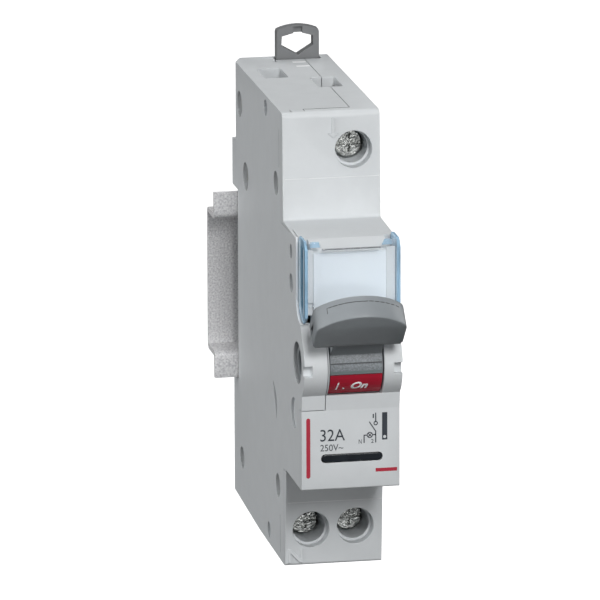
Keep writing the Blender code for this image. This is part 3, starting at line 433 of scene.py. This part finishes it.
def shown_copy(node, rigid=True):
    """A welded and smoothly shaded copy of a node that is shown in its place."""
    work = opened(NODES[node].data)
    bmesh.ops.remove_doubles(work, verts=work.verts, dist=SOLID_WELD)
    work.verts.index_update()
    faces = [[v.index for v in face.verts] for face in work.faces]
    mesh = mesh_of(node + "_shown", [v.co for v in work.verts], faces)
    work.free()
    mesh.materials.append(NODES[node].data.materials[0])
    shade_smooth(mesh)
    copy = bpy.data.objects.new(node + "_shown", mesh)
    copy.matrix_world = NODES[node].matrix_world.copy()
    bpy.context.scene.collection.objects.link(copy)
    if rigid:
        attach(copy, body_of(node))
    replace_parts(copy, node)
    return copy


def carve(target, mesh):
    """Cuts a mesh out of a shown copy for good."""
    tool = bpy.data.objects.new("tool", mesh)
    bpy.context.scene.collection.objects.link(tool)
    trim = target.modifiers.new("carve", "BOOLEAN")
    trim.operation = "DIFFERENCE"
    trim.solver = "EXACT"
    trim.object = tool
    bpy.context.view_layer.update()
    done = bpy.data.meshes.new_from_object(target.evaluated_get(bpy.context.evaluated_depsgraph_get()))
    target.modifiers.remove(trim)
    target.data = done
    bpy.data.objects.remove(tool)
    shade_smooth(done)


# Shown copies of the moulded, turned and folded solids, smooth across their curves
paddle = shown_copy("toggle_handle")
for node in ("terminal_screw_1", "terminal_screw_n", "terminal_screw_2", "din_rail_section"):
    shown_copy(node)

# The carrier's spring, shown with a mesh of its own
spring = shown_copy("contact_spring")
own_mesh(spring)

# The braid's copy rides on no body, its place baked into its mesh
braid = shown_copy("braid", rigid=False)
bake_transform(braid)

# The seats of the cover's arms: the flank's rim stands back beside them
HINGE = (59.8, 10.8)
RIM_FRONT = 56.0
RECESS_RADIUS = 3.8
RECESS_TURN = (180, 282, 8)
RECESS_FRONT, RECESS_TOP = 66.0, 24.0
RECESS_INNER, RECESS_OUTER = 6.9, HALF + 0.5
recess = [
    (RIM_FRONT, RECESS_TOP),
    *turn(HINGE, RECESS_RADIUS, *RECESS_TURN),
    (RECESS_FRONT, HINGE[1] - RECESS_RADIUS),
    (RECESS_FRONT, RECESS_TOP),
]
for node, sign in (("housing_left_shell", -1), ("housing_right_shell", 1)):
    x0, x1 = sorted((sign * RECESS_INNER, sign * RECESS_OUTER))
    carve(shown_copy(node), prism(recess, x0, x1))


# The clear cover: tinted arms, a thin pane with a finger notch, and lips beside the notch
def cover_piece(name, meshes, finish, softness=0.0):
    """A piece of the cover from several meshes, its edges softened by that radius."""
    made = piece(name, "cover", fused(*meshes), finish)
    if softness:
        soften = made.modifiers.new("edges", "BEVEL")
        soften.width = softness * MM
        soften.segments = 2
        soften.limit_method = "ANGLE"
        soften.angle_limit = math.radians(40)
    return made


COVER_FRONT, COVER_TOP = 62.36, 22.35
ARM_SPANS = ((-8.4, -7.9), (8.15, 8.8))
arm_outline = [
    *turn(HINGE, 3.6, 180, 285, 10),
    (COVER_FRONT, 8.6),
    (COVER_FRONT, 20.9),
    (61.6, 21.9),
    (60.9, COVER_TOP),
    (56.9, COVER_TOP),
    (56.3, 21.9),
]
sides = [prism(arm_outline, *span) for span in ARM_SPANS]
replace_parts(cover_piece("cover_arms", sides, arms, 0.16), "label_cover")

PANE_GAP = 0.02
PANE_LEFT, PANE_RIGHT = ARM_SPANS[0][1] + PANE_GAP, ARM_SPANS[1][0] - PANE_GAP
PANE_BACK, PANE_FOOT, PANE_TOP = 61.7, 10.6, 22.25
NOTCH_FOOT = 21.0
pane_outline = [
    (PANE_LEFT, PANE_FOOT),
    (PANE_RIGHT, PANE_FOOT),
    (PANE_RIGHT, PANE_TOP),
    (6.1, PANE_TOP),
    (5.3, NOTCH_FOOT),
    (-5.4, NOTCH_FOOT),
    (-5.7, PANE_TOP),
    (PANE_LEFT, PANE_TOP),
]
cover_piece("cover_pane", [panel(pane_outline, PANE_BACK, COVER_FRONT)], pane, 0.08)

LIP_BACK, LIP_FRONT = 61.2, 61.66
lips = (
    [(-7.4, 21.2), (-5.55, 21.2), (-5.75, 22.2), (-7.4, 22.2)],
    [(5.55, 21.2), (7.4, 21.2), (7.4, 22.2), (6.1, 22.2)],
)
cover_piece("cover_lips", [panel(lip, LIP_BACK, LIP_FRONT) for lip in lips], arms, 0.08)

# Upright bands on the outer faces of the arms: a darker band of painted shade and two light bands of painted
# highlight
BAND_ROOT, BAND_LIFT = 0.005, 0.02
LEFT_FACE, RIGHT_FACE = ARM_SPANS[0][0], ARM_SPANS[1][1]
BAND_SPANS = ((LEFT_FACE - BAND_LIFT, LEFT_FACE + BAND_ROOT), (RIGHT_FACE - BAND_ROOT, RIGHT_FACE + BAND_LIFT))
for name, tone, d0, d1, z0, z1 in (
    ("cover_arm_painted_shades", arm_painted_shade, 58.6, 60.4, 10.2, 20.9),
    ("cover_arm_painted_highlights", arm_painted_highlight, 60.7, 61.1, 9.0, 20.6),
    ("cover_arm_edge_painted_highlights", arm_painted_highlight, 56.9, 57.3, 10.4, 21.4),
):
    band = [(d0, z0), (d1, z0 - 0.4), (d1, z1), (d0, z1 + 0.3)]
    cover_piece(name, [prism(band, *span) for span in BAND_SPANS], tone)
# A dark strip of painted shadow along the foot of the notch
notch_edge = rectangle(-5.3, NOTCH_FOOT - 0.18, 5.2, NOTCH_FOOT - 0.02)
cover_piece("notch_painted_shadow_strip", [panel(notch_edge, PANE_BACK + 0.02, COVER_FRONT - 0.06)], edge_shade)

# The housing's ledges beside the card, in a lighter copy of the case plastic: painted light
for name, x0, x1, z0, z1, d0, d1 in (
    ("ledge_left", -7.8, -6.8, 11.2, 20.7, 61.0, 61.4),
    ("ledge_left_foot", -7.8, -6.8, 8.8, 11.2, 60.5, 60.85),
    ("ledge_right", 6.5, 8.05, 11.2, 20.7, 60.8, 61.0),
    ("ledge_right_foot", 6.8, 8.05, 8.8, 11.2, 60.5, 60.85),
):
    piece(name, "housing", panel(rectangle(x0, z0, x1, z1), d0, d1), case_painted_light)

# The flank's rim beside the arms, its edge in painted highlight
RIM_WIDE, RIM_TOP = 0.08, 22.0
outer, inner = (turn(HINGE, radius, *RECESS_TURN) for radius in (RECESS_RADIUS, RECESS_RADIUS - RIM_WIDE))
rim = [(RIM_FRONT, RIM_TOP), *outer, *reversed(inner), (RIM_FRONT + RIM_WIDE, RIM_TOP)]
for name, x0, x1 in (("rim_edge_left", -8.82, -8.45), ("rim_edge_right", 8.81, 8.84)):
    piece(name, "housing", prism(rim, x0, x1), painted_white_highlight)


# A crease of the mould across either shoulder, its ridge in painted highlight
def slope(z, z0, d0, z1, d1):
    """The depth at a height on a slope between two places."""
    return d0 + (z - z0) / (z1 - z0) * (d1 - d0)


CREASE_WIDE, CREASE_PROUD = 0.28, 0.03
CREASE_LEFT, CREASE_RIGHT = -HALF + 0.4, HALF - 0.2
UPPER_SLOPE = (TOP, SHOULDER_TOP, NOSE_TOP, SHOULDER_ROOT)
LOWER_SLOPE = (NOSE_BOTTOM, LOWER_SHOULDER_ROOT, FOOT, LOWER_SHOULDER_FOOT)
for name, z, face in (("upper_crease", 29.65, UPPER_SLOPE), ("lower_crease", -29.5, LOWER_SLOPE)):
    d = slope(z, *face)
    crease = [(d - ROOT, z - CREASE_WIDE / 2), (d + CREASE_PROUD, z), (d - ROOT, z + CREASE_WIDE / 2)]
    piece(name, "housing", prism(crease, CREASE_LEFT, CREASE_RIGHT), painted_white_highlight)


# An inset line in painted shade and two strips of painted highlight on the top
def on_top(x0, x1, d0, d1, proud):
    return prism(rectangle(d0, TOP - ROOT, d1, TOP + proud), x0, x1)


inset = fused(on_top(-4.5, 3.9, 40.62, 40.76, 0.015), on_top(-4.56, -4.44, 40.62, 42.1, 0.015))
piece("top_inset", "housing", inset, shade)
for name, x0, x1, d0, d1 in (("top_ledge_1", 1.27, 3.7, 0.7, 1.7), ("top_ledge_2", 1.3, 3.74, 4.4, 5.2)):
    piece(name, "housing", on_top(x0, x1, d0, d1, 0.02), painted_white_highlight)

# The arrow's outline in painted shade, drawn finely round its relief on the upper front and laid on the slope
ARROW_X, ARROW_Z = 0.35, 38.6
ARROW_LINE = 0.09
ARROW = ((-0.22, 1.8), (-0.22, -0.95), (-0.95, -0.95), (0, -1.8), (0.95, -0.95), (0.22, -0.95), (0.22, 1.8))
corners = [(ARROW_X + x, ARROW_Z + z) for x, z in ARROW]
edges = [flat(bar(*a, *b, ARROW_LINE)) for a, b in zip(corners, corners[1:] + corners[:1])]
arrow = on_front(fused(*edges), SHOULDER_TOP)
for v in arrow.vertices:
    v.co.y -= (slope(v.co.z / MM, *UPPER_SLOPE) - SHOULDER_TOP) * MM
piece("arrow_outline", "housing", arrow, relief_shade)

# Print on the plate: the rating, then a symbol of the switch from 1 to 2 and the lamp from 2 to N
rating = fused(letters("32A", (-5.5, -14.3), (-1.05, -12.15)), letters("250V~", (-5.5, -16.1), (-1.35, -14.9)))
piece("rating_print", "housing", on_front(rating, PLATE_FRONT), ink)

LINE = 0.19
strokes = [
    bar(4.52, -9.5, 4.52, -11.05, LINE),
    bar(3.36, -11.1, 4.56, -12.95, LINE),
    bar(4.52, -12.85, 4.52, -14.95, LINE),
    bar(4.6, -13.5, 4.0, -13.5, LINE),
    bar(2.95, -13.53, 2.33, -13.53, LINE),
    bar(2.42, -13.44, 2.42, -14.95, LINE),
    bar(3.15, -13.85, 3.78, -13.2, LINE * 0.8),
    bar(3.15, -13.2, 3.78, -13.85, LINE * 0.8),
]
symbol = fused(
    *(flat(stroke) for stroke in strokes),
    flat(ring(4.52, -11.42, 0.4), ring(4.52, -11.42, 0.22)),
    flat(ring(3.46, -13.53, 0.56), ring(3.46, -13.53, 0.4)),
    letters("1", (3.98, -10.45), (4.2, -9.7)),
    letters("2", (3.68, -15.0), (4.15, -14.3)),
    letters("N", (1.45, -15.05), (1.98, -14.25)),
)
piece("wiring_symbol", "housing", on_front(symbol, PLATE_FRONT), ink)

marker = flat([(5.68, -14.52), (6.62, -14.5), (6.62, -9.5), (5.68, -9.5)], ring(6.15, -13.95, 0.28))
piece("marker_bar", "housing", on_front(marker, PLATE_FRONT), ink)

red_marks = fused(flat(stadium(-7.67, -10.3, -7.67, -20.6, 0.72)), flat(bar(4.5, -20.0, 8.4, -20.0, 0.64)))
piece("red_marks", "housing", on_front(red_marks, PLATE_FRONT), ink_red)

# Strips and letters on the drum
ON_MIDDLE = HANDLE_ANGLE - ON_BAND_BELOW + 0.5
OFF_MIDDLE = HANDLE_ANGLE + OFF_BAND_ABOVE
DRUM_X = (WINDOW_LEFT + 0.3, WINDOW_RIGHT - 0.3)
STRIP_RADII = (DRUM_RADIUS + 0.004, DRUM_RADIUS + PRINT_THICK)
STRIP_STEP = 4
TEXT_RADIUS = DRUM_RADIUS + 0.005
TEXT_BENDS, TEXT_STEP = 5, 0.18


def on_drum(x, radius, angle):
    """A place at that radius from the drum's axis, the angle in radians."""
    return at(x, HUB_D + radius * math.cos(angle), HUB_Z + radius * math.sin(angle))


def strip(name, start, end, finish):
    """A thin strip across the drum between two angles."""
    steps = max(2, int(abs(end - start) / STRIP_STEP))
    angles = [math.radians(start + (end - start) * k / steps) for k in range(steps + 1)]
    sections = [[on_drum(x, radius, angle) for radius in STRIP_RADII for x in DRUM_X] for angle in angles]
    return piece(name, "toggle", swept(name, sections), finish)


def wrapped(mesh, middle):
    """Wraps a flat print round the drum, its height measured along the surface from an angle."""
    work = opened(mesh)
    for step in range(-TEXT_BENDS, TEXT_BENDS + 1):
        whole = work.verts[:] + work.edges[:] + work.faces[:]
        level = (0, step * TEXT_STEP * MM, 0)
        bmesh.ops.bisect_plane(work, geom=whole, plane_co=level, plane_no=(0, 1, 0))
    closed(work, mesh)
    for v in mesh.vertices:
        angle = math.radians(middle) + v.co.y / (DRUM_RADIUS * MM)
        v.co = on_drum(v.co.x / MM, TEXT_RADIUS + v.co.z / MM, angle)
    return mesh


strip("drum_groove", 7.5, 9.8, shade)
strip("drum_teal_line", -8.5, -4.5, teal)
strip("drum_speckle_high", 9.9, 30.0, speckle)
strip("drum_speckle_low", -4.4, 7.4, speckle)
on_text = fused(
    letters("I", (-2.95, -0.9), (-2.34, 0.85), 0.3, 0.045),
    letters(".", (-1.72, -0.9), (-1.3, -0.5), 0.0, 0.03),
    letters("On", (-0.2, -0.9), (2.9, 0.85), 0.3, 0.035),
)
piece("on_print", "toggle", wrapped(on_text, ON_MIDDLE), ink_white)
off_text = fused(
    letters("O", (-3.1, -0.8), (-1.6, 0.8), 0.3, 0.012),
    letters(".", (-1.2, -0.8), (-0.85, -0.45), 0.0, 0.02),
    letters("Off", (-0.1, -0.8), (3.4, 0.8), 0.3, 0.012),
)
piece("off_print", "toggle", wrapped(off_text, OFF_MIDDLE), ink_white)

# The fine step along the paddle's rear edge, laid on its shown mesh from above
STEP_LEFT, STEP_RIGHT, STEP_COUNT = -6.1, 6.9, 26
STEP_WIDE, STEP_ROOT, STEP_PROUD = 0.11, 0.04, 0.012
BEHIND_CREST, HOOK = 0.8, Vector((-0.02, 0.8))
CREST_TRIES, CREST_SPACING = 400, 0.05
OVERHEAD = 40
paddle_faces = BVHTree.FromPolygons(places_of(paddle), [tuple(face.vertices) for face in paddle.data.polygons])


def paddle_height(x, d):
    hit = paddle_faces.ray_cast(at(x, d, OVERHEAD), Vector((0, 0, -1)))[0]
    return hit.z / MM if hit else 0.0


def crest(x):
    """The depth where the paddle stands highest."""
    depths = (HUB_D + CREST_SPACING * k for k in range(CREST_TRIES))
    return max(depths, key=lambda d: paddle_height(x, d))


levels = [STEP_LEFT + (STEP_RIGHT - STEP_LEFT) * k / STEP_COUNT for k in range(STEP_COUNT + 1)]
path = [Vector((x, crest(x) + BEHIND_CREST)) for x in levels]
path.insert(0, path[0] + HOOK)
sections = []
for k, here in enumerate(path):
    along = (path[min(k + 1, len(path) - 1)] - path[max(k - 1, 0)]).normalized()
    side = Vector((-along.y, along.x)) * STEP_WIDE / 2
    sections.append([])
    for x, d in (here - side, here + side):
        height = paddle_height(x, d)
        sections[-1] += [at(x, d, height - STEP_ROOT), at(x, d, height + STEP_PROUD)]
piece("paddle_step", "toggle", swept("paddle_step", sections), shade)

# Light, floor and camera, in metres
MIDDLE = Vector((0, -0.03, 0))
for name, place, size, power in (
    ("key_high", (0.1, -1.2, 0.95), (0.4, 0.4), 8.5),
    ("key_level", (0.1, -1.35, 0.7), (0.4, 0.4), 7.7),
    ("low_fill", (0.2, -1.4, 0.0), (0.8, 0.3), 2.9),
    ("left_fill", (-1.4, -0.4, 0.35), (0.8, 0.8), 7.5),
    ("left_side", (-1.5, -0.1, -0.1), (0.8, 0.8), 8.7),
    ("left_top", (-1.2, -0.1, 0.9), (0.8, 0.8), 1.5),
    ("back_top", (0.0, 0.7, 1.2), (0.9, 0.9), 7.2),
    ("right_back", (1.4, 0.5, 0.3), (0.8, 0.8), 6.0),
):
    lamp = bpy.data.lights.new(name, "AREA")
    lamp.shape = "RECTANGLE"
    lamp.size, lamp.size_y = size
    lamp.energy = power
    made = bpy.data.objects.new(name, lamp)
    made.location = place
    made.rotation_euler = (MIDDLE - Vector(place)).to_track_quat("-Z", "Y").to_euler()
    bpy.context.scene.collection.objects.link(made)

world = bpy.data.worlds.new("studio")
bpy.context.scene.world = world
world.use_nodes = True
world.node_tree.nodes["Background"].inputs["Color"].default_value = (0.95, 0.97, 1.0, 1)
world.node_tree.nodes["Background"].inputs["Strength"].default_value = 0.03

FLOOR_LEVEL, FLOOR_REACH = -0.12, 6
FLOOR_WHITE = (0.9, 0.9, 0.9)
square = rectangle(-FLOOR_REACH, -FLOOR_REACH, FLOOR_REACH, FLOOR_REACH)
ground = mesh_of("floor", [(x, y, FLOOR_LEVEL) for x, y in square], [(0, 1, 2, 3)])
floor_finish = plain("floor_white", FLOOR_WHITE, 0.9, Emission_Color=(1, 1, 1, 1), Emission_Strength=0.6)
grain(floor_finish, vary(floor_finish, FLOOR_WHITE, 0.005, 3.0), 40.0, 0.05)
ground.materials.append(floor_finish)
floor = bpy.data.objects.new("floor", ground)
bpy.context.scene.collection.objects.link(floor)
floor.visible_diffuse = floor.visible_glossy = False

CAMERA_PLACE = Vector((-0.27995, -1.46373, 0.36026))
CAMERA_AIM = Vector((-0.003066, -0.0375, 0.0040))
CAMERA_ROLL = -0.175
lens = bpy.data.cameras.new("camera")
lens.sensor_width = 36.0
lens.lens = 497.66
lens.clip_start = 0.1
camera = bpy.data.objects.new("camera", lens)
camera.location = CAMERA_PLACE
facing = (CAMERA_AIM - CAMERA_PLACE).to_track_quat("-Z", "Y").to_matrix()
camera.rotation_euler = (facing @ Matrix.Rotation(math.radians(CAMERA_ROLL), 3, "Z")).to_euler()
bpy.context.scene.collection.objects.link(camera)
bpy.context.scene.camera = camera
bpy.context.scene.view_settings.view_transform = "Standard"
